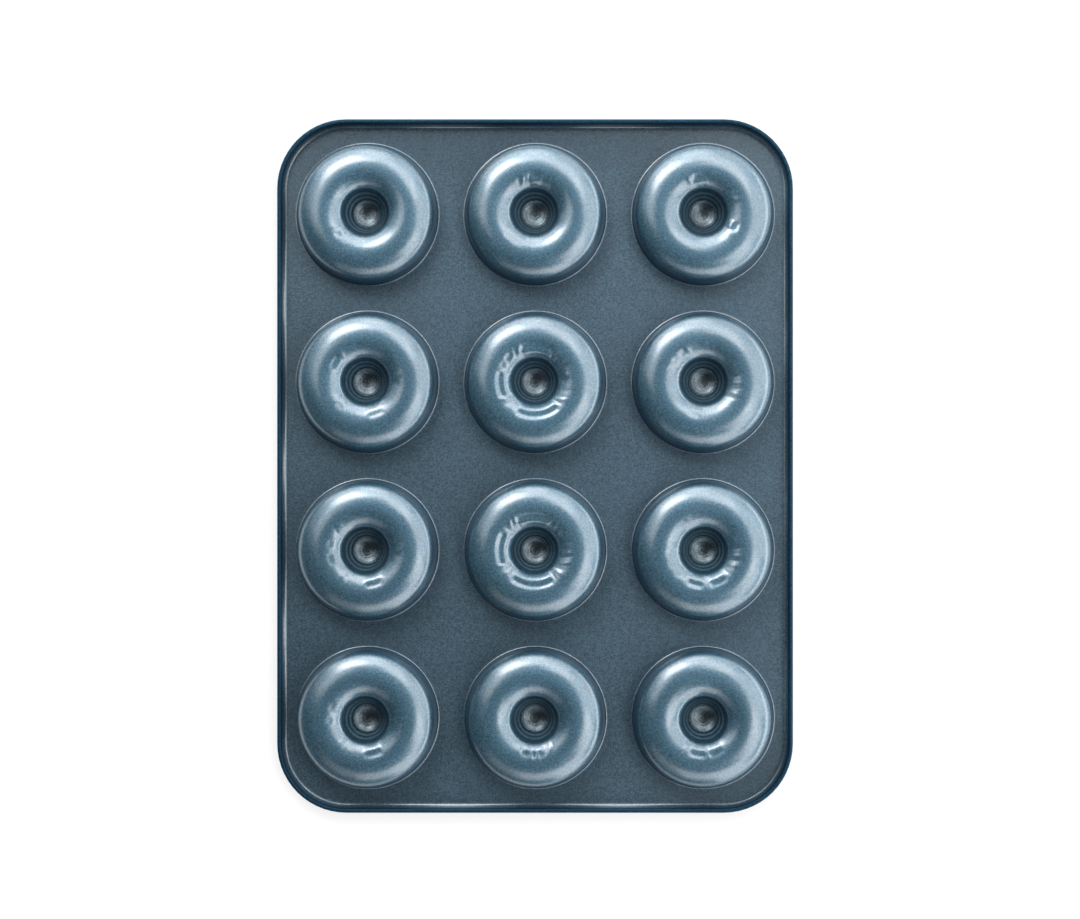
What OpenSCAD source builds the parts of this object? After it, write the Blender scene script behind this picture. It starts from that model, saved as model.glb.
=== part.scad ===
// Doughnut pan for twelve, pressed from one steel sheet.
// It lies on its flat face, with the rings and the rim standing up.
// Baking turns it over: the rings then hang down as moulds.
// Origin: centre of the outline, on the flat face. X is across, Y is along, Z is up.

/* [Pan] */
// Width across the rolled rim, mm
pan_width = 280; // [276:1:320]
// Length over the rolled rim, mm
pan_length = 376.5; // [372:0.5:420]
// Outside radius of the four corners, mm
corner_radius = 37.6; // [20:0.2:50]
// Thickness of the steel sheet, mm
sheet = 0.8; // [0.5:0.1:1]

/* [Cups] */
// Cups across the width
cup_columns = 3; // [1:1:3]
// Cups along the length
cup_rows = 4; // [1:1:4]
// Spacing of the cups, centre to centre, mm
cup_pitch = 91.3; // [84:0.1:92]
// Diameter where a ring's outer wall rises from the plate, mm
cup_diameter = 76.7; // [70:0.1:80]
// Height of a ring's crest above the flat face, mm
cup_depth = 20; // [16:0.5:24]
// Diameter of the circle along that crest, mm
crest_diameter = 46.3; // [43:0.1:49]
// How far the gentle arc at the crest turns before the outer shoulder, degrees
outer_turn = 33.5; // [20:0.5:50]
// How far it turns before the shoulder towards the post, degrees
inner_turn = 33; // [10:0.5:40]
// Radius of the outer shoulder, mm
outer_shoulder_radius = 8.6; // [4:0.2:14]
// Radius of the shoulder towards the post, mm
inner_shoulder_radius = 5.7; // [2:0.1:10]
// Draft of a ring's outer wall, degrees from upright
wall_draft = 6; // [4:1:16]
// Radius of the fold between the plate and a ring, mm
cup_fold_radius = 0.9; // [0.5:0.1:2]

/* [Posts] */
// Draft of a post's wall, degrees from upright
post_draft = 22.5; // [15:0.5:35]
// Diameter of the domed end of a post, mm
post_end_diameter = 14.4; // [10:0.2:16]
// Radius of that dome, mm
post_dome_radius = 14.4; // [11:0.2:30]
// Radius of the edge between the dome and the post's wall, mm
post_edge_radius = 1.4; // [0.8:0.1:2]
// How far the end of a post stays above the flat face, mm
post_recess = 0.2; // [0.1:0.1:3]

/* [Rim] */
// Height of the rim above the flat face, mm
rim_height = 7; // [6:0.1:12]
// Outside diameter of the rolled edge, mm
roll_diameter = 2.5; // [2.4:0.1:4]
// How far round the sheet is rolled, degrees
roll_turn = 260; // [200:5:265]
// Lean of the rim's wall, degrees from upright
rim_lean = 2; // [0:1:24]
// Radius of the fold between the plate and the rim, mm
rim_fold_radius = 2.5; // [1:0.1:3]

/* [Hidden] */

coating_colour = [0.31, 0.41, 0.47];
arc_tolerance = 0.03;   // furthest that a chord strays from its arc, mm
round_sides = 96;       // sides of a full turn
lap = 1;                // flat strip of sheet that a pressed section shares with the plate, mm

// Half section of a cup: distances are from the cup's own axis, heights from the flat face.

// Fold at the foot of a ring, hollow on the upper side
cup_fold_x = cup_diameter / 2 + cup_fold_radius * (1 - sin(wall_draft)) / cos(wall_draft);
cup_fold_z = sheet + cup_fold_radius;

// Dome at the end of a post, and the centre of the edge around it
dome_floor = post_recess + sheet;
dome_angle = asin(post_end_diameter / 2 / post_dome_radius);
edge_x = (post_dome_radius - post_edge_radius) * sin(dome_angle);
edge_z = dome_floor + post_dome_radius - (post_dome_radius - post_edge_radius) * cos(dome_angle);

// Ring: on each side of its crest, a gentle arc and then a shoulder, each running smoothly into the next.
// The gentle arc gets the radius at which the shoulder just touches the wall.
crest_x = crest_diameter / 2;
outer_crest_radius = (
    (cup_diameter / 2 - crest_x) * cos(wall_draft) - (cup_depth - sheet) * sin(wall_draft)
    - outer_shoulder_radius * (1 - sin(outer_turn + wall_draft))
) / (sin(outer_turn + wall_draft) - sin(wall_draft));
inner_crest_radius = (
    (crest_x - edge_x) * cos(post_draft) - (cup_depth - edge_z) * sin(post_draft)
    - post_edge_radius - inner_shoulder_radius * (1 - sin(inner_turn + post_draft))
) / (sin(inner_turn + post_draft) - sin(post_draft));
outer_crest = [crest_x, cup_depth - outer_crest_radius];
inner_crest = [crest_x, cup_depth - inner_crest_radius];
outer_shoulder = outer_crest
    + (outer_crest_radius - outer_shoulder_radius) * [sin(outer_turn), cos(outer_turn)];
inner_shoulder = inner_crest
    + (inner_crest_radius - inner_shoulder_radius) * [-sin(inner_turn), cos(inner_turn)];

// Rim: roll and fold in a section whose x is zero at the outermost point
roll_radius = roll_diameter / 2;
roll_x = -roll_radius;
roll_z = rim_height - roll_radius;
rim_fold_z = sheet + rim_fold_radius;
rim_fold_x = roll_x
    - (roll_radius + rim_fold_radius - (rim_fold_z - roll_z) * sin(rim_lean)) / cos(rim_lean);

// Points along an arc, from one direction to another
function arc(centre, radius, from, to) =
    let (steps = max(2, ceil(abs(to - from) / (2 * acos(1 - arc_tolerance / radius)))))
    [for (i = [0:steps]) let (a = from + (to - from) * i / steps) centre + radius * [cos(a), sin(a)]];

// One face of the sheet in a cup, from the fold to the axis.
// depth 0 gives the upper face and depth sheet gives the lower one.
function cup_face(depth) = concat(
    [[cup_fold_x + lap, sheet - depth]],
    arc([cup_fold_x, cup_fold_z], cup_fold_radius + depth, 270, 180 + wall_draft),
    arc(outer_shoulder, outer_shoulder_radius - depth, wall_draft, 90 - outer_turn),
    arc(outer_crest, outer_crest_radius - depth, 90 - outer_turn, 90),
    arc(inner_crest, inner_crest_radius - depth, 90, 90 + inner_turn),
    arc(inner_shoulder, inner_shoulder_radius - depth, 90 + inner_turn, 180 - post_draft),
    arc([edge_x, edge_z], post_edge_radius + depth, 360 - post_draft, 270 + dome_angle),
    arc([0, dome_floor + post_dome_radius], post_dome_radius + depth, 270 + dome_angle, 270)
);

// One face of the sheet in the rim, from the plate to the end of the roll
function rim_face(depth) = concat(
    [[rim_fold_x - lap, sheet - depth]],
    arc([rim_fold_x, rim_fold_z], rim_fold_radius + depth, 270, 360 - rim_lean),
    arc([roll_x, roll_z], roll_radius - depth, 180 - rim_lean, 180 - rim_lean - roll_turn)
);

function reversed(points) = [for (i = [len(points) - 1:-1:0]) points[i]];

// Calls its children once at the centre of each cup
module each_cup() {
    for (column = [0:cup_columns - 1]) {
        for (row = [0:cup_rows - 1]) {
            translate([
                (column - (cup_columns - 1) / 2) * cup_pitch,
                (row - (cup_rows - 1) / 2) * cup_pitch,
                0
            ])
                children();
        }
    }
}

// One ring with its post, from the fold inwards
module cup() {
    rotate_extrude($fn = round_sides)
        polygon(concat(cup_face(0), reversed(cup_face(sheet))));
}

module rim_section() {
    polygon(concat(rim_face(0), reversed(rim_face(sheet))));
}

// One straight side of the rim, along X, with its outer edge on the line y = 0
module rim_side(length) {
    translate([-length / 2, 0, 0])
        rotate([90, 0, 90])
            linear_extrude(length)
                rim_section();
}

// One corner of the rim around its own centre, in the quarter where x and y are positive
module rim_corner() {
    rotate_extrude(angle = 90, $fn = round_sides)
        translate([corner_radius, 0])
            rim_section();
}

// Flat sheet inside the rim, with a round hole for each cup
module plate() {
    half_x = pan_width / 2 + rim_fold_x;
    half_y = pan_length / 2 + rim_fold_x;
    linear_extrude(sheet)
        difference() {
            union() {
                square([2 * half_x, pan_length - 2 * corner_radius], center = true);
                square([pan_width - 2 * corner_radius, 2 * half_y], center = true);
                for (x = [-1, 1], y = [-1, 1])
                    translate([x * (pan_width / 2 - corner_radius), y * (pan_length / 2 - corner_radius)])
                        circle(r = corner_radius + rim_fold_x, $fn = round_sides);
            }
            each_cup()
                circle(r = cup_fold_x, $fn = round_sides);
        }
}

module rim() {
    for (end = [0, 1])
        rotate(180 * end)
            translate([0, pan_length / 2, 0])
                rim_side(pan_width - 2 * corner_radius);
    for (side = [0, 1])
        rotate(90 + 180 * side)
            translate([0, pan_width / 2, 0])
                rim_side(pan_length - 2 * corner_radius);
    for (x = [0, 1], y = [0, 1])
        mirror([x, 0, 0])
            mirror([0, y, 0])
                translate([pan_width / 2 - corner_radius, pan_length / 2 - corner_radius, 0])
                    rim_corner();
}

module pan() {
    color(coating_colour)
        union() {
            plate();
            rim();
            each_cup()
                cup();
        }
}

pan();
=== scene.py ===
"""Doughnut pan for twelve, lying upside down on a white table, seen from straight above.

Lengths in the sections are millimetres, and MM turns them into Blender's metres.
A cup is named by its column and row, counted from the left and from the bottom.
"""

import math

import bmesh
import bpy
import numpy as np
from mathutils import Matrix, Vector
from mathutils.geometry import delaunay_2d_cdt


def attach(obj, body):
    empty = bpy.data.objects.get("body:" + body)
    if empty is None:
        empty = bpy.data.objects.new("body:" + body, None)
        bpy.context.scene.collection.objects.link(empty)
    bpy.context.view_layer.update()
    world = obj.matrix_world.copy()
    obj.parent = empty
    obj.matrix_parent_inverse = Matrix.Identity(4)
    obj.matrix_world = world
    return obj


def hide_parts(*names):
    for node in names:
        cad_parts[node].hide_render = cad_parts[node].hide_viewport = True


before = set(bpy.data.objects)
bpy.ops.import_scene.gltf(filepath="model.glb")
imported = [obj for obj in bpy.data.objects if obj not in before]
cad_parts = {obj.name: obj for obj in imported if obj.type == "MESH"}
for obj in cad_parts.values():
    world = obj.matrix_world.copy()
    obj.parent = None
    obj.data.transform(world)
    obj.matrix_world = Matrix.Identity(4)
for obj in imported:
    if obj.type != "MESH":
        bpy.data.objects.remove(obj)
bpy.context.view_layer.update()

MM = 0.001

# Pan
PAN_WIDTH = 280.0
PAN_LENGTH = 376.5
CORNER_RADIUS = 37.6
SHEET = 0.8

# Cups
COLUMNS = 3
ROWS = 4
PITCH = 91.3
CUP_DIAMETER = 76.7
CUP_DEPTH = 20.0
CREST_X = 23.15
OUTER_TURN = math.radians(33.5)
INNER_TURN = math.radians(33)
OUTER_SHOULDER_RADIUS = 8.6
INNER_SHOULDER_RADIUS = 5.7
WALL_DRAFT = math.radians(6)
CUP_FOLD_RADIUS = 0.9

# Posts
POST_DRAFT = math.radians(22.5)
POST_END_DIAMETER = 14.4
POST_DOME_RADIUS = 14.4
POST_EDGE_RADIUS = 1.4
POST_RECESS = 0.2

# Rim
RIM_HEIGHT = 7.0
ROLL_RADIUS = 1.25
ROLL_TURN = math.radians(260)
RIM_LEAN = math.radians(2)
RIM_FOLD_RADIUS = 2.5

# Mesh fineness: points round a cup outside, in and inside the creased band, and along the rim
SIDES_OUTER = 96
SIDES_CREASED = 192
SIDES_POST = 48
SIDES_HIDDEN = 48
CREASED_BAND = (13.2, 22.0)
POST_MOUTH = 12.0
CORNER_STEPS = 14
SIDE_STEP = 14.0
PLATE_GRID = 9.0
GRID_MARGIN = 0.3 * PLATE_GRID
FLAT_STRIP = 0.6
CDT_TOLERANCE = 1e-6
# Steps along a cup's section on the upper and the hidden face: outer shoulder, crest outwards,
# the crest's creased part, inner shoulder, walls, and the small arcs. Along the rim's: fold, wall, roll.
CUP_STEPS = (8, 8, 12, 7, 2, 4)
HIDDEN_STEPS = (4, 4, 3, 3, 1, 2)
RIM_STEPS = (7, 3, 16)

# Inside a post, from the first radius inwards and fully at the second, in mm:
# the coating is dull at the mouth, with painted shade there, and thin further in, where turning marks show
DULL_SHADED_MOUTH = (13.3, 12.2)
BARE = (11.7, 10.7)
# Painted shade on the rim's roll, from the first height upwards and fully at the second,
# and at the foot of a ring, from the first radius outwards and fully at the second.
# At the foot it ends between the radii of FOOT_END, and the last value below gives its strength.
RIM_SHADE = (3.0, 4.2)
FOOT_SHADE = (34.0, 38.2)
FOOT_END = (38.75, 38.35)
FOOT_SHADE_STRENGTH = 0.9
# The rings are bluer than the plate, from the first radius inwards and fully at the second
RING = (39.3, 37.8)

UP = math.pi / 2
DOWN = math.radians(270)
HALF_TURN = math.pi


def polar(angle):
    return np.array([math.cos(angle), math.sin(angle)])


# Construction of the cup's section, as distances from the cup's axis and heights
cup_fold_x = CUP_DIAMETER / 2 + CUP_FOLD_RADIUS * (1 - math.sin(WALL_DRAFT)) / math.cos(WALL_DRAFT)
dome_floor = POST_RECESS + SHEET
dome_angle = math.asin(POST_END_DIAMETER / 2 / POST_DOME_RADIUS)
edge_x = (POST_DOME_RADIUS - POST_EDGE_RADIUS) * math.sin(dome_angle)
edge_z = dome_floor + POST_DOME_RADIUS - (POST_DOME_RADIUS - POST_EDGE_RADIUS) * math.cos(dome_angle)
edge = np.array([edge_x, edge_z])


def crest_arc(wall_point, draft, turn, shoulder, set_back):
    """Radius of the crest's arc on one side, where the shoulder after it just touches the wall."""
    across, below = abs(wall_point[0] - CREST_X), CUP_DEPTH - wall_point[1]
    reach = across * math.cos(draft) - below * math.sin(draft) - set_back
    end = math.sin(turn + draft)
    return (reach - shoulder * (1 - end)) / (end - math.sin(draft))


outer_crest_radius = crest_arc((CUP_DIAMETER / 2, SHEET), WALL_DRAFT, OUTER_TURN, OUTER_SHOULDER_RADIUS, 0.0)
inner_crest_radius = crest_arc(edge, POST_DRAFT, INNER_TURN, INNER_SHOULDER_RADIUS, POST_EDGE_RADIUS)
outer_crest = np.array([CREST_X, CUP_DEPTH - outer_crest_radius])
inner_crest = np.array([CREST_X, CUP_DEPTH - inner_crest_radius])
outer_shoulder = outer_crest + (outer_crest_radius - OUTER_SHOULDER_RADIUS) * polar(UP - OUTER_TURN)
inner_shoulder = inner_crest + (inner_crest_radius - INNER_SHOULDER_RADIUS) * polar(UP + INNER_TURN)
crease_turn = math.asin((CREST_X - CREASED_BAND[1]) / inner_crest_radius)

# Construction of the rim's section, with x zero at the outermost point
roll_x = -ROLL_RADIUS
roll_z = RIM_HEIGHT - ROLL_RADIUS
rim_fold_z = SHEET + RIM_FOLD_RADIUS
rim_fold_x = roll_x - (ROLL_RADIUS + RIM_FOLD_RADIUS
                       - (rim_fold_z - roll_z) * math.sin(RIM_LEAN)) / math.cos(RIM_LEAN)


class Section:
    """A line across the sheet's upper face: points, unit normals that point out of the sheet."""

    def __init__(self):
        self.points, self.normals = [], []

    def add(self, point, normal):
        self.points.append(np.asarray(point, float))
        self.normals.append(np.asarray(normal, float))

    def arc(self, centre, radius, start, end, steps, hollow, skip_first=False):
        """hollow is true where the arc's centre is outside the sheet."""
        for i in range(1 if skip_first else 0, steps + 1):
            way = polar(start + (end - start) * i / steps)
            self.add(np.array(centre) + radius * way, -way if hollow else way)

    def line_to(self, point, steps):
        """Points between the last one and the given one, which isn't added."""
        start, normal = self.points[-1], self.normals[-1]
        for i in range(1, steps):
            self.add(start + (np.asarray(point) - start) * i / steps, normal)

    def arrays(self):
        return np.array(self.points), np.array(self.normals)


def cup_section(steps):
    """A cup's section, from the plate over the ring to the middle of the post."""
    shoulder_out, crest_out, crest_in, shoulder_in, wall, small = steps
    s = Section()
    s.add([cup_fold_x + FLAT_STRIP, SHEET], [0, 1])
    s.arc([cup_fold_x, SHEET + CUP_FOLD_RADIUS], CUP_FOLD_RADIUS, DOWN, HALF_TURN + WALL_DRAFT, small, True)
    s.line_to(outer_shoulder + OUTER_SHOULDER_RADIUS * polar(WALL_DRAFT), wall)
    s.arc(outer_shoulder, OUTER_SHOULDER_RADIUS, WALL_DRAFT, UP - OUTER_TURN, shoulder_out, False)
    s.arc(outer_crest, outer_crest_radius, UP - OUTER_TURN, UP, crest_out, False, skip_first=True)
    s.arc(inner_crest, inner_crest_radius, UP, UP + crease_turn, 1, False, skip_first=True)
    s.arc(inner_crest, inner_crest_radius, UP + crease_turn, UP + INNER_TURN, crest_in, False,
          skip_first=True)
    s.arc(inner_shoulder, INNER_SHOULDER_RADIUS, UP + INNER_TURN, HALF_TURN - POST_DRAFT, shoulder_in, False,
          skip_first=True)
    s.line_to(edge - POST_EDGE_RADIUS * polar(HALF_TURN - POST_DRAFT), wall + 1)
    s.arc(edge, POST_EDGE_RADIUS, 2 * HALF_TURN - POST_DRAFT, DOWN + dome_angle, small, True)
    s.arc([0, dome_floor + POST_DOME_RADIUS], POST_DOME_RADIUS, DOWN + dome_angle, DOWN, small + 1, True,
          skip_first=True)
    return s.arrays()


def rim_section():
    """The rim's section, from the plate to the end of the roll."""
    fold_steps, wall_steps, roll_steps = RIM_STEPS
    s = Section()
    s.add([rim_fold_x - FLAT_STRIP, SHEET], [0, 1])
    s.arc([rim_fold_x, rim_fold_z], RIM_FOLD_RADIUS, DOWN, 2 * HALF_TURN - RIM_LEAN, fold_steps, True)
    roll = np.array([roll_x, roll_z])
    s.line_to(roll + ROLL_RADIUS * polar(HALF_TURN - RIM_LEAN), wall_steps)
    s.arc(roll, ROLL_RADIUS, HALF_TURN - RIM_LEAN, HALF_TURN - RIM_LEAN - ROLL_TURN, roll_steps, False)
    return s.arrays()


# Puckers that the press left on the rings' slopes towards their posts, by column and row.
# A shelf is a flatter patch: from one angle to another, in degrees, and how strong it is.
# A fold runs towards the post: angle at MID_SLOPE, degrees of lean per mm, height in mm, half width in mm.
# A lump is a small round bump: angle, radius, height and half width in mm.
SHELVES = {
    (1, 2): ((57, 111, 0.9), (130, 144, 0.7), (149, 158, 0.5), (166, 207, 1.0), (241, 312, 1.0)),
    (1, 1): ((63, 119, 0.9), (149, 203, 1.0), (232, 302, 1.1)),
    (1, 3): ((83, 97, 1.0), (216, 250, 0.3)),
    (1, 0): ((252, 262, 0.8), (266, 273, 0.9), (277, 285, 0.8)),
    (0, 2): ((138, 158, 0.6), (218, 232, 0.35), (276, 302, 0.5)),
    (0, 1): ((162, 176, 0.4), (186, 203, 0.5), (272, 300, 0.8)),
    (0, 0): ((150, 164, 0.4), (174, 186, 0.35), (272, 299, 0.9)),
    (0, 3): ((217, 228, 0.6),),
    (2, 3): ((83, 108, 0.7), (326, 341, 0.9)),
    (2, 2): ((122, 133, 0.45), (141, 150, 0.4), (157, 164, 0.35), (247, 263, 0.4)),
    (2, 1): ((181, 190, 0.35), (200, 209, 0.35), (219, 227, 0.4), (242, 268, 0.9), (281, 309, 0.8)),
    (2, 0): ((246, 273, 0.8), (279, 303, 0.7)),
}
FOLDS = {
    (1, 2): ((34, 1.0, -0.16, 0.5), (48, -0.4, 0.20, 0.5), (54, -0.6, -0.16, 0.4), (118, -1.1, 0.24, 0.5),
             (125, -1.0, -0.14, 0.5), (213, -1.6, 0.26, 0.5), (222, -1.4, -0.18, 0.6), (231, 0.8, 0.12, 0.7),
             (318, 1.0, -0.18, 0.5), (326, 1.6, 0.26, 0.5), (343, 1.0, -0.12, 0.7)),
    (1, 1): ((20, 0.8, 0.12, 0.5), (30, 0.6, -0.14, 0.5), (39, 0.8, 0.16, 0.5), (51, 0.4, 0.20, 0.5),
             (58, -1.0, -0.20, 0.4), (124, -0.6, 0.16, 0.4), (129, -1.2, -0.14, 0.4), (134, -1.4, 0.22, 0.5),
             (141, 0.6, -0.18, 0.4), (146, 1.2, 0.22, 0.5), (207, -1.2, 0.22, 0.5), (214, -0.6, -0.22, 0.5),
             (220, 0.4, 0.20, 0.5), (227, 1.4, -0.10, 0.5), (307, 0.2, -0.30, 0.5), (318, 0.6, 0.26, 0.6),
             (326, 1.0, -0.14, 0.5), (338, 1.8, 0.24, 0.6), (349, 1.2, -0.14, 0.5)),
    (1, 3): ((58, 1.0, -0.14, 0.6), (66, 0.8, 0.10, 0.5), (79, -0.6, 0.20, 0.4), (99, -0.4, -0.18, 0.5),
             (110, -1.2, 0.22, 0.5), (118, -1.0, -0.12, 0.6), (262, 0.8, 0.12, 0.8)),
    (1, 0): ((240, -1.0, 0.16, 0.7), (248, 1.2, -0.16, 0.5), (264, 0.3, 0.22, 0.4), (275, -0.2, 0.22, 0.4),
             (288, -0.8, -0.18, 0.5), (297, -1.4, 0.16, 0.6), (305, -1.0, -0.12, 0.6)),
    (0, 2): ((131, -0.8, 0.14, 0.7), (213, 0.6, 0.12, 0.6), (237, 1.2, -0.12, 0.7), (10, 0.4, 0.10, 1.0)),
    (0, 1): ((134, 1.0, 0.16, 0.7), (146, -1.2, -0.14, 0.7), (156, 0.8, 0.14, 0.6), (229, -1.0, 0.16, 0.6),
             (240, 1.0, -0.16, 0.7), (2, 1.0, 0.10, 0.9)),
    (0, 0): ((143, 0.8, 0.10, 0.7), (222, -0.6, 0.12, 0.6), (233, 0.9, -0.14, 0.6)),
    (0, 3): ((208, -0.8, 0.14, 0.8), (234, 1.4, -0.14, 0.7)),
    (2, 3): ((116, 0.4, 0.18, 0.8), (20, -0.8, 0.10, 0.8), (36, 0.8, -0.10, 0.8), (319, 0.8, 0.10, 0.8)),
    (2, 2): ((117, 0.8, 0.16, 0.7), (329, 0.9, -0.16, 0.6), (337, 0.6, 0.16, 0.5), (346, 0.8, -0.14, 0.5),
             (356, 0.4, 0.14, 0.5), (8, 0.2, -0.12, 0.6)),
    (2, 1): ((116, 1.2, 0.10, 0.9), (318, 0.8, -0.14, 0.6), (333, 0.9, 0.18, 0.6), (342, 0.8, -0.18, 0.5),
             (351, 0.4, 0.16, 0.5), (4, 0.3, -0.14, 0.6), (14, 0.4, 0.10, 0.7)),
    (2, 0): ((235, -1.0, 0.14, 0.7), (276, 0.2, 0.10, 0.6)),
}
LUMPS = {
    (1, 2): ((10, 17.8, 0.22, 0.9), (24, 19.0, -0.12, 0.9), (0, 15.8, -0.12, 0.8)),
    (1, 1): ((4, 16.4, -0.16, 0.9), (356, 18.6, 0.16, 0.8), (14, 18.8, -0.12, 0.7)),
    (2, 3): ((98, 15.4, 0.12, 0.9),),
    (0, 1): ((12, 16.6, 0.14, 1.2), (352, 18.0, -0.10, 1.0)),
    (0, 2): ((354, 17.2, -0.12, 1.2),),
}
MID_SLOPE = 18.0
# A shelf pushes the sheet out at SHELF_HIGH and in at SHELF_LOW, by SHELF_STEP and over SHELF_REACH,
# and it fades over SHELF_END at either end. A fold fades over FOLD_REACH. All are in mm.
SHELF_HIGH, SHELF_LOW, SHELF_REACH, SHELF_STEP = 15.9, 19.1, 1.15, 0.42
SHELF_END = 0.35
FOLD_REACH = 2.3
EXP_LIMIT = 30   # keeps the exponential within range


def bell(distance, half_width):
    return np.exp(-(distance / half_width) ** 2 / 2)


def turned(degrees):
    """An angle as a turn either way from zero."""
    return (degrees + 180) % 360 - 180


def puckers(column, row, angle, radius):
    """How far the sheet is pushed out of its true section, in mm."""
    degrees = np.degrees(angle)
    arc = math.radians(radius)
    push = np.zeros(len(angle))
    for start, end, strength in SHELVES[column, row]:
        beyond = (np.abs(turned(degrees - (start + end) / 2)) - (end - start) / 2) * arc
        step = bell(radius - SHELF_HIGH, SHELF_REACH) - bell(radius - SHELF_LOW, SHELF_REACH)
        fade = 1 + np.exp(np.clip(beyond / SHELF_END, -EXP_LIMIT, EXP_LIMIT))
        push += strength * SHELF_STEP * step / fade
    for at, lean, height, half_width in FOLDS[column, row]:
        across = turned(degrees - at - lean * (radius - MID_SLOPE)) * arc
        push += height * bell(across, half_width) * bell(radius - MID_SLOPE, FOLD_REACH)
    for at, out, height, half_width in LUMPS.get((column, row), ()):
        push += height * bell(np.hypot(turned(degrees - at) * arc, radius - out), half_width)
    return push


FINISH_AND_SHADE = ("ring", "dull_and_shaded", "bare", "painted_shade", "turning")


class Sheet:
    """The whole pan as one closed mesh, with the state of the coating and the painted shade at each vertex.
    """

    def __init__(self):
        self.vertices, self.finish, self.faces, self.count = [], [], [], 0

    def put(self, points, ring=0.0, dull_and_shaded=0.0, bare=0.0, painted_shade=0.0, turning=0.0):
        """turning is the distance from a cup's axis in mm, which places the turning marks."""
        points = np.asarray(points, float).reshape(-1, 3)
        first = self.count
        self.vertices.append(points)
        self.finish.append(np.tile([ring, dull_and_shaded, bare, painted_shade, turning], (len(points), 1)))
        self.count += len(points)
        return np.arange(first, self.count)

    def strip(self, a, b, flip):
        """Faces between two closed loops, where b may have twice or half as many points as a."""
        if len(a) > len(b):
            self.strip(b, a, not flip)
            return
        n, m = len(a), len(b)
        for i in range(n):
            j = (i + 1) % n
            if m == n:
                made = [(a[i], a[j], b[j], b[i])]
            else:
                c, d, e = 2 * i, 2 * i + 1, (2 * i + 2) % m
                made = [(a[i], b[d], b[c]), (a[i], a[j], b[d]), (a[j], b[e], b[d])]
            self.faces += [f[::-1] for f in made] if flip else made


def cup_centre(column, row):
    return np.array([(column - (COLUMNS - 1) / 2) * PITCH, (row - (ROWS - 1) / 2) * PITCH])


def sides_at(radius):
    if radius < POST_MOUTH:
        return SIDES_POST
    return SIDES_CREASED if CREASED_BAND[0] < radius < CREASED_BAND[1] else SIDES_OUTER


def share(radius, limits):
    """Zero up to the first limit, one from the second on, and a straight change between."""
    return min(1.0, max(0.0, (limits[0] - radius) / (limits[0] - limits[1])))


def add_cup(sheet, column, row, upper):
    """One face of the sheet in one cup. Returns the loop that joins it to the plate."""
    points, normals = cup_section(CUP_STEPS if upper else HIDDEN_STEPS)
    depth = 0.0 if upper else SHEET
    centre = cup_centre(column, row)
    loops = []
    for p, n in zip(points[:-1], normals[:-1]):
        sides = sides_at(p[0]) if upper else SIDES_HIDDEN
        angles = np.arange(sides) * 2 * math.pi / sides
        push = puckers(column, row, angles, p[0]) - depth
        out = p[0] + n[0] * push
        height = p[1] + n[1] * push
        # these masks also carry painted shade, at the post's mouth and at the ring's foot
        finish = (share(p[0], RING), share(p[0], DULL_SHADED_MOUTH), share(p[0], BARE),
                  FOOT_SHADE_STRENGTH * share(p[0], FOOT_SHADE) * share(p[0], FOOT_END), p[0]) if upper else ()
        loops.append(sheet.put(np.column_stack([centre[0] + np.cos(angles) * out,
                                                centre[1] + np.sin(angles) * out, height]), *finish))
    for a, b in zip(loops, loops[1:]):
        sheet.strip(a, b, not upper)
    pole = sheet.put([[centre[0], centre[1], points[-1][1] - depth]], *[float(upper)] * 3)[0]
    last = loops[-1]
    for i, a in enumerate(last):
        b = last[(i + 1) % len(last)]
        sheet.faces.append((a, b, pole) if upper else (b, a, pole))
    return loops[0]


def outline(steps_corner, side_step):
    """Round the pan: places on the corner arcs' centre lines and the outward direction at each."""
    places, ways = [], []
    half = np.array([PAN_WIDTH / 2 - CORNER_RADIUS, PAN_LENGTH / 2 - CORNER_RADIUS])
    corners = [half * s for s in ([1, 1], [-1, 1], [-1, -1], [1, -1])]
    for k, centre in enumerate(corners):
        for i in range(steps_corner + 1):
            places.append(centre)
            ways.append(polar(math.pi / 2 * (k + i / steps_corner)))
        nxt = corners[(k + 1) % 4]
        steps = round(np.linalg.norm(nxt - centre) / side_step)
        for i in range(1, steps):
            places.append(centre + (nxt - centre) * i / steps)
            ways.append(ways[-1])
    return np.array(places), np.array(ways)


def add_rim(sheet):
    """The rim from the plate's upper face round the roll to its lower face. Returns its two end loops."""
    points, normals = rim_section()
    across = np.concatenate([points, (points - SHEET * normals)[::-1]])
    places, ways = outline(CORNER_STEPS, SIDE_STEP)
    loops = []
    for x, z in across:
        ring = places + ways * (CORNER_RADIUS + x)
        # painted shade on the rim's roll, by height
        loops.append(sheet.put(np.column_stack([ring, np.full(len(ring), z)]), painted_shade=share(z, RIM_SHADE)))
    for a, b in zip(loops, loops[1:]):
        sheet.strip(a, b, True)
    return loops[0], loops[-1]


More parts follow.
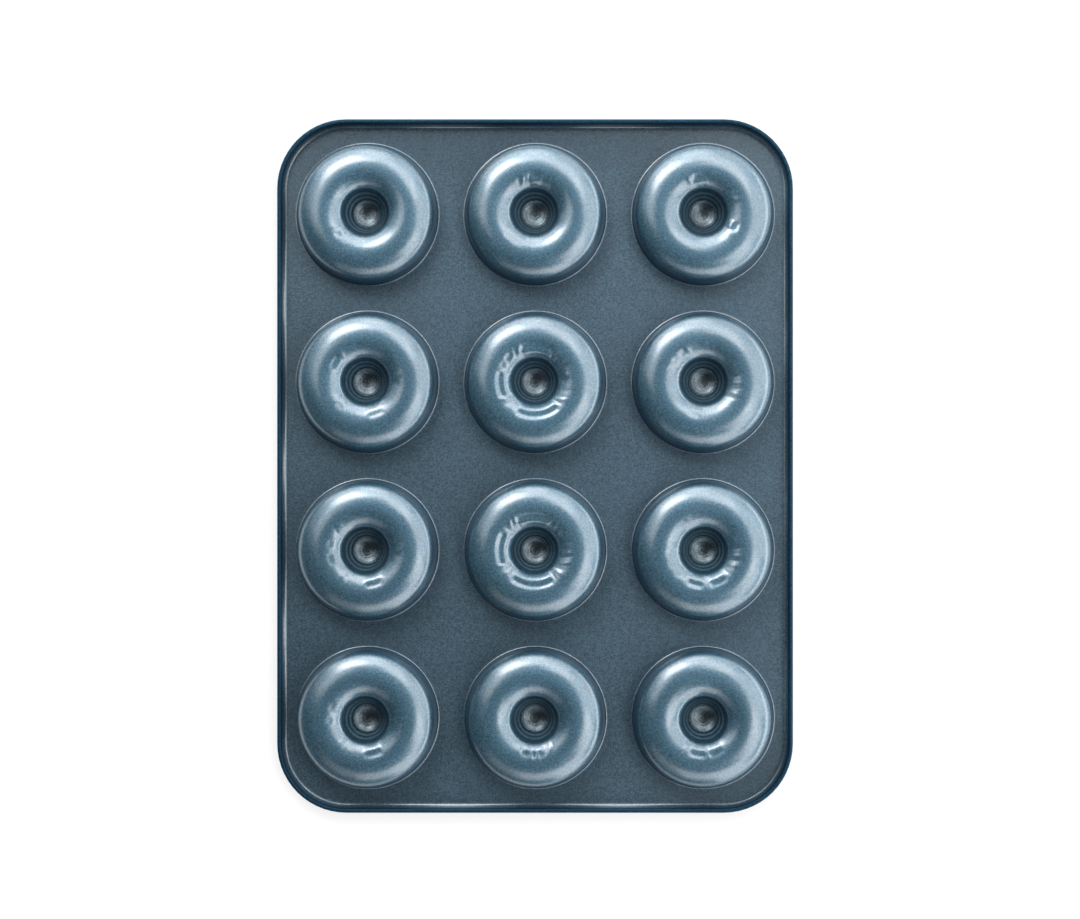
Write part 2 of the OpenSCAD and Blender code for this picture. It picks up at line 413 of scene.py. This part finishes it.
def add_plate(sheet, rim_loop, cup_loops, upper):
    """Triangles between the rim's loop and the cups' loops, with a light grid of points."""
    loops = [rim_loop] + cup_loops
    known = np.concatenate(loops)
    places = np.concatenate(sheet.vertices)[known][:, :2]
    edges = []
    first = 0
    for loop in loops:
        n = len(loop)
        edges += [(first + i, first + (i + 1) % n) for i in range(n)]
        first += n
    centres = [cup_centre(c, r) for c in range(COLUMNS) for r in range(ROWS)]
    hole = cup_fold_x + FLAT_STRIP
    half = np.array([PAN_WIDTH / 2, PAN_LENGTH / 2]) + rim_fold_x - FLAT_STRIP
    inner_corner = CORNER_RADIUS + rim_fold_x - FLAT_STRIP

    def inside(p, margin):
        beyond = np.maximum(np.abs(p) - (half - inner_corner), 0)
        if np.hypot(*beyond) > inner_corner - margin:
            return False
        return all(np.hypot(*(p - centre)) > hole + margin for centre in centres)

    xs = np.arange(-half[0], half[0], PLATE_GRID)
    ys = np.arange(-half[1], half[1], PLATE_GRID)
    extra = np.array([(x, y) for x in xs for y in ys if inside(np.array([x, y]), GRID_MARGIN)])
    height = SHEET if upper else 0.0
    new = sheet.put(np.column_stack([extra, np.full(len(extra), height)]))
    number = np.concatenate([known, new])
    flat = [Vector(p) for p in np.concatenate([places, extra])]
    result = delaunay_2d_cdt(flat, edges, [], 0, CDT_TOLERANCE)
    back = [o[0] for o in result[3]]
    for face in result[2]:
        middle = np.mean([np.array(result[0][v]) for v in face], axis=0)
        if inside(middle, 0.0):
            ids = [number[back[v]] for v in face]
            sheet.faces.append(ids if upper else ids[::-1])


def make_pan():
    sheet = Sheet()
    upper_rim, lower_rim = add_rim(sheet)
    for upper, rim_loop in ((True, upper_rim), (False, lower_rim)):
        loops = [add_cup(sheet, c, r, upper) for c in range(COLUMNS) for r in range(ROWS)]
        add_plate(sheet, rim_loop, loops, upper)
    mesh = bpy.data.meshes.new("pan_sheet")
    places = (np.concatenate(sheet.vertices) * MM).tolist()
    mesh.from_pydata(places, [], [[int(v) for v in f] for f in sheet.faces])
    for name, values in zip(FINISH_AND_SHADE, np.concatenate(sheet.finish).T):
        attribute = mesh.attributes.new(name, "FLOAT", "POINT")
        attribute.data.foreach_set("value", values.astype(np.float32))
    mesh.validate()
    mesh.shade_smooth()
    piece = bpy.data.objects.new("pan_sheet", mesh)
    bpy.context.scene.collection.objects.link(piece)
    return piece


class Nodes:
    """A short way to make a material's nodes."""

    def __init__(self, material):
        material.use_nodes = True
        self.tree = material.node_tree
        self.shader = self.tree.nodes["Principled BSDF"]

    def put(self, kind, **settings):
        node = self.tree.nodes.new("ShaderNode" + kind)
        for name, value in settings.items():
            setattr(node, name, value)
        return node

    def join(self, source, target):
        self.tree.links.new(source, target)

    def attribute(self, name):
        return self.put("Attribute", attribute_name=name).outputs["Fac"]

    def noise(self, scale, detail, roughness=0.5):
        """Noise between about 0.3 and 0.7, at places in metres."""
        node = self.put("TexNoise")
        node.inputs["Scale"].default_value = scale
        node.inputs["Detail"].default_value = detail
        node.inputs["Roughness"].default_value = roughness
        if not hasattr(self, "place"):
            self.place = self.put("TexCoord").outputs["Object"]
        self.join(self.place, node.inputs["Vector"])
        return node.outputs["Fac"]

    def spread(self, source, start, end, low, high):
        """The source's values from low to high, turned into values from start to end."""
        node = self.put("MapRange")
        for name, value in (("From Min", low), ("From Max", high), ("To Min", start), ("To Max", end)):
            node.inputs[name].default_value = value
        self.join(source, node.inputs["Value"])
        return node.outputs["Result"]

    def calculate(self, operation, a, b):
        node = self.put("Math", operation=operation)
        for socket, value in zip(node.inputs, (a, b)):
            if isinstance(value, (int, float)):
                socket.default_value = value
            else:
                self.join(value, socket)
        return node.outputs["Value"]

    def blend(self, factor, a, b):
        """A colour between a and b, each a colour or another node's output."""
        node = self.put("Mix", data_type="RGBA")
        self.join(factor, node.inputs["Factor"])
        for socket, value in ((node.inputs[6], a), (node.inputs[7], b)):
            if isinstance(value, tuple):
                socket.default_value = (*value, 1)
            else:
                self.join(value, socket)
        return node.outputs[2]

    def scaled(self, colour, factor):
        node = self.put("VectorMath", operation="SCALE")
        self.join(colour, node.inputs[0])
        self.join(factor, node.inputs["Scale"])
        return node.outputs["Vector"]


METAL = 0.75
PLATE_BLUE = (0.080, 0.148, 0.202)
RING_BLUE = (0.078, 0.188, 0.270)
# painted shade on the rim's roll and at the rings' feet
SHADE_BLUE = (0.009, 0.050, 0.092)
# painted shade at the posts' mouths
LIP_SHADE_BLUE = (0.008, 0.043, 0.082)
POST_GREY = (0.130, 0.228, 0.295)
POST_DARK = (0.016, 0.054, 0.086)
DOME_GREY = (0.112, 0.152, 0.176)
# Painted shade: the plate is darker towards its far end and a little towards its left side,
# from the first place to the second, in metres, and how much
SHADE_FAR_END = (0.140, 0.182, 0.60)
SHADE_LEFT_SIDE = (-0.105, -0.135, 0.22)
PLATE_SHADE_BLUE = (0.022, 0.052, 0.078)
DOME_EDGE = (8.8, 5.8)   # radii in mm between which a post's wall turns into its dished end
TURNING_PITCH = 1.70     # mm between the turning marks in a post
TURNING_HEIGHT = 1.6     # of the turning marks, beside the fine bump's noise of 0 to 1
# Scale of each noise, and what its usual values are spread over
NOISE_RANGE = (0.30, 0.70)
SPECKLE_SCALE, SPECKLE = 1500, (0.62, 1.38)
FLECK_SCALE, FLECKS = 750, (0.80, 1.20)
CLOUD_SCALE, CLOUDS = 28, (0.92, 1.08)
BUMP_SCALE, BUMP_STRENGTH, BUMP_DISTANCE = 1100, 0.25, 0.00004
# A post's wall is less metallic than the coating and its dished end more so, and both are smoother
METAL_LOST_BARE, METAL_GAINED_DOME = 0.4, 0.5
ROUGH, ROUGH_BARE, ROUGH_SPECKLE = 0.55, 0.36, 0.05
# The clear layer, and how much of it is left at the posts' dull mouths and where shade is painted
COAT_DULL, COAT_IN_SHADE, COAT_ROUGHNESS, COAT_IOR = 0.15, 0.0, 0.25, 2.4


def coating_material():
    """Blue-grey metallic coating with a fine sparkle, under a smooth clear layer, with painted shade on the
    rim's roll, at the rings' feet, at the posts' mouths and towards the plate's far end and left side.
    """
    material = bpy.data.materials.new("coating")
    n = Nodes(material)
    ring, dull_and_shaded, bare, painted_shade, turning = [n.attribute(name) for name in FINISH_AND_SHADE]
    dome = n.calculate("MULTIPLY", bare, n.spread(turning, 0.0, 1.0, *DOME_EDGE))

    speckle = n.noise(SPECKLE_SCALE, 2, 0.6)
    flecks = n.noise(FLECK_SCALE, 1)
    clouds = n.noise(CLOUD_SCALE, 3)
    grain = n.calculate("MULTIPLY", n.spread(speckle, *SPECKLE, *NOISE_RANGE),
                        n.spread(flecks, *FLECKS, *NOISE_RANGE))
    grain = n.calculate("MULTIPLY", grain, n.spread(clouds, *CLOUDS, *NOISE_RANGE))

    parts = n.put("SeparateXYZ")
    n.join(n.place, parts.inputs["Vector"])
    # painted shade on the plate towards its far end and left side
    side, far_end_shade = [n.spread(parts.outputs[axis], 0.0, most, start, end)
                     for axis, (start, end, most) in (("X", SHADE_LEFT_SIDE), ("Y", SHADE_FAR_END))]
    plate = n.blend(n.calculate("MAXIMUM", side, far_end_shade), PLATE_BLUE, PLATE_SHADE_BLUE)
    # painted shade at the rings' feet and on the rim's roll
    colour = n.blend(painted_shade, n.blend(ring, plate, RING_BLUE), SHADE_BLUE)
    wave = n.calculate("SINE", n.calculate("MULTIPLY", turning, 2 * math.pi / TURNING_PITCH), 0)
    post = n.blend(n.spread(wave, 0.0, 1.0, -1.0, 1.0), POST_DARK, POST_GREY)
    # painted shade at the posts' mouths, then the posts' walls and dished ends
    colour = n.blend(dome, n.blend(bare, n.blend(dull_and_shaded, colour, LIP_SHADE_BLUE), post), DOME_GREY)
    n.join(n.scaled(colour, grain), n.shader.inputs["Base Color"])
    metal = n.calculate("SUBTRACT", METAL, n.calculate("MULTIPLY", bare, METAL_LOST_BARE))
    metal = n.calculate("ADD", metal, n.calculate("MULTIPLY", dome, METAL_GAINED_DOME))
    n.join(metal, n.shader.inputs["Metallic"])
    rough = n.calculate("ADD", n.spread(bare, ROUGH, ROUGH_BARE, 0.0, 1.0),
                        n.spread(speckle, -ROUGH_SPECKLE, ROUGH_SPECKLE, *NOISE_RANGE))
    n.join(rough, n.shader.inputs["Roughness"])
    # the clear layer thins at the posts' dull mouths and is gone where shade is painted
    coat = n.calculate("MULTIPLY", n.spread(dull_and_shaded, 1.0, COAT_DULL, 0.0, 1.0),
                       n.spread(painted_shade, 1.0, COAT_IN_SHADE, 0.0, 1.0))
    n.join(coat, n.shader.inputs["Coat Weight"])
    n.shader.inputs["Coat Roughness"].default_value = COAT_ROUGHNESS
    n.shader.inputs["Coat IOR"].default_value = COAT_IOR

    marks = n.calculate("MULTIPLY", n.calculate("MULTIPLY", wave, TURNING_HEIGHT), bare)
    bump = n.put("Bump")
    bump.inputs["Strength"].default_value = BUMP_STRENGTH
    bump.inputs["Distance"].default_value = BUMP_DISTANCE
    n.join(n.calculate("ADD", n.noise(BUMP_SCALE, 2, 0.6), marks), bump.inputs["Height"])
    n.join(bump.outputs["Normal"], n.shader.inputs["Normal"])
    n.join(bump.outputs["Normal"], n.shader.inputs["Coat Normal"])
    return material


PANEL_DISTANCE = 1.5


def panel(name, azimuth, low, high, spread, radiance):
    """A lit panel that faces the pan, between two elevations. azimuth turns from +X towards +Y."""
    a, e = math.radians(azimuth), math.radians((low + high) / 2)
    way = Vector((math.cos(a) * math.cos(e), math.sin(a) * math.cos(e), math.sin(e)))
    lamp = bpy.data.lights.new(name, "AREA")
    lamp.shape = "RECTANGLE"
    lamp.size = 2 * PANEL_DISTANCE * math.cos(e) * math.tan(math.radians(spread / 2))
    lamp.size_y = 2 * PANEL_DISTANCE * math.tan(math.radians((high - low) / 2))
    lamp.energy = radiance * math.pi * lamp.size * lamp.size_y
    holder = bpy.data.objects.new(name, lamp)
    holder.location = way * PANEL_DISTANCE
    holder.rotation_mode = "QUATERNION"
    holder.rotation_quaternion = way.to_track_quat("Z", "Y")
    holder.visible_camera = False
    bpy.context.scene.collection.objects.link(holder)


# Name, azimuth, lowest and highest elevation and spread in degrees, and brightness
PANELS = (
    ("key", 120, 31, 54, 30, 6.9),
    ("key_side", 90, 24, 54, 30, 2.8),
    ("key_low", 108, 10, 28, 60, 2.1),
    ("far_left", 155, 44, 67, 36, 1.2),
    ("far_left_low", 150, 20, 44, 30, 0.5),
    ("second", 60, 34, 66, 30, 2.5),
    ("second_low", 60, 3, 34, 30, 1.4),
    ("right", 15, 24, 66, 60, 1.6),
    ("right_low", 0, 3, 20, 90, 3.2),
    ("near_right", 330, 28, 66, 30, 2.2),
    ("near", 300, 3, 46, 30, 1.9),
    ("near_left", 270, 24, 46, 30, 1.3),
    ("left", 240, 24, 46, 30, 0.4),
)
ROOM = (0.012, 0.013, 0.014)


def make_world():
    """A nearly dark room round the panels."""
    world = bpy.data.worlds.new("studio")
    bpy.context.scene.world = world
    world.use_nodes = True
    world.node_tree.nodes["Background"].inputs["Color"].default_value = (*ROOM, 1)


TABLE_RADIUS = 14.0
TABLE_SIDES = 96
TABLE_DROP = 0.0002
TABLE_WHITE = 0.86
TABLE_LIT = 0.34
TABLE_GLOW = 0.74


def make_floor():
    """White table. The camera and reflections see most of its white as a glow, so the shadow stays faint."""
    mesh = bpy.data.meshes.new("table")
    bm = bmesh.new()
    bmesh.ops.create_circle(bm, cap_ends=True, radius=TABLE_RADIUS, segments=TABLE_SIDES)
    bm.to_mesh(mesh)
    bm.free()
    floor = bpy.data.objects.new("table", mesh)
    floor.location.z = -TABLE_DROP
    bpy.context.scene.collection.objects.link(floor)
    material = bpy.data.materials.new("table_white")
    n = Nodes(material)
    path = n.put("LightPath")
    seen = n.calculate("MAXIMUM", path.outputs["Is Camera Ray"], path.outputs["Is Glossy Ray"])
    seen = n.calculate("MAXIMUM", seen, path.outputs["Is Transmission Ray"])
    n.join(n.blend(seen, (TABLE_WHITE,) * 3, (TABLE_LIT,) * 3), n.shader.inputs["Base Color"])
    n.join(n.calculate("MULTIPLY", seen, TABLE_GLOW), n.shader.inputs["Emission Strength"])
    n.shader.inputs["Emission Color"].default_value = (1, 1, 1, 1)
    n.shader.inputs["Roughness"].default_value = 1.0
    n.shader.inputs["Specular IOR Level"].default_value = 0.0
    floor.data.materials.append(material)


# Photograph: its frame, where the pan lies in it, and where the lens looked straight down
PHOTO_WIDTH = 1080
PHOTO_HEIGHT = 919
PAN_CENTRE_PX = (535.3, 466.2)
LENS_AXIS_PX = (600.0, 505.0)
MM_PER_PX = 0.5449
CAMERA_DISTANCE = 1330.0
SENSOR = 36.0


def make_camera():
    width = PHOTO_WIDTH * MM_PER_PX
    axis = np.array([LENS_AXIS_PX[0] - PAN_CENTRE_PX[0], PAN_CENTRE_PX[1] - LENS_AXIS_PX[1]]) * MM_PER_PX
    middle = np.array([PHOTO_WIDTH / 2 - PAN_CENTRE_PX[0], PAN_CENTRE_PX[1] - PHOTO_HEIGHT / 2]) * MM_PER_PX
    data = bpy.data.cameras.new("camera")
    data.sensor_width = SENSOR
    data.lens = SENSOR * CAMERA_DISTANCE / width
    data.shift_x, data.shift_y = (middle - axis) / width
    camera = bpy.data.objects.new("camera", data)
    camera.location = (axis[0] * MM, axis[1] * MM, (CAMERA_DISTANCE + SHEET) * MM)
    bpy.context.scene.collection.objects.link(camera)
    bpy.context.scene.camera = camera


pan = make_pan()
pan.data.materials.append(coating_material())
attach(pan, "root")
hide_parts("pan")

make_floor()
make_world()
for settings in PANELS:
    panel(*settings)
make_camera()
bpy.context.scene.view_settings.view_transform = "Standard"
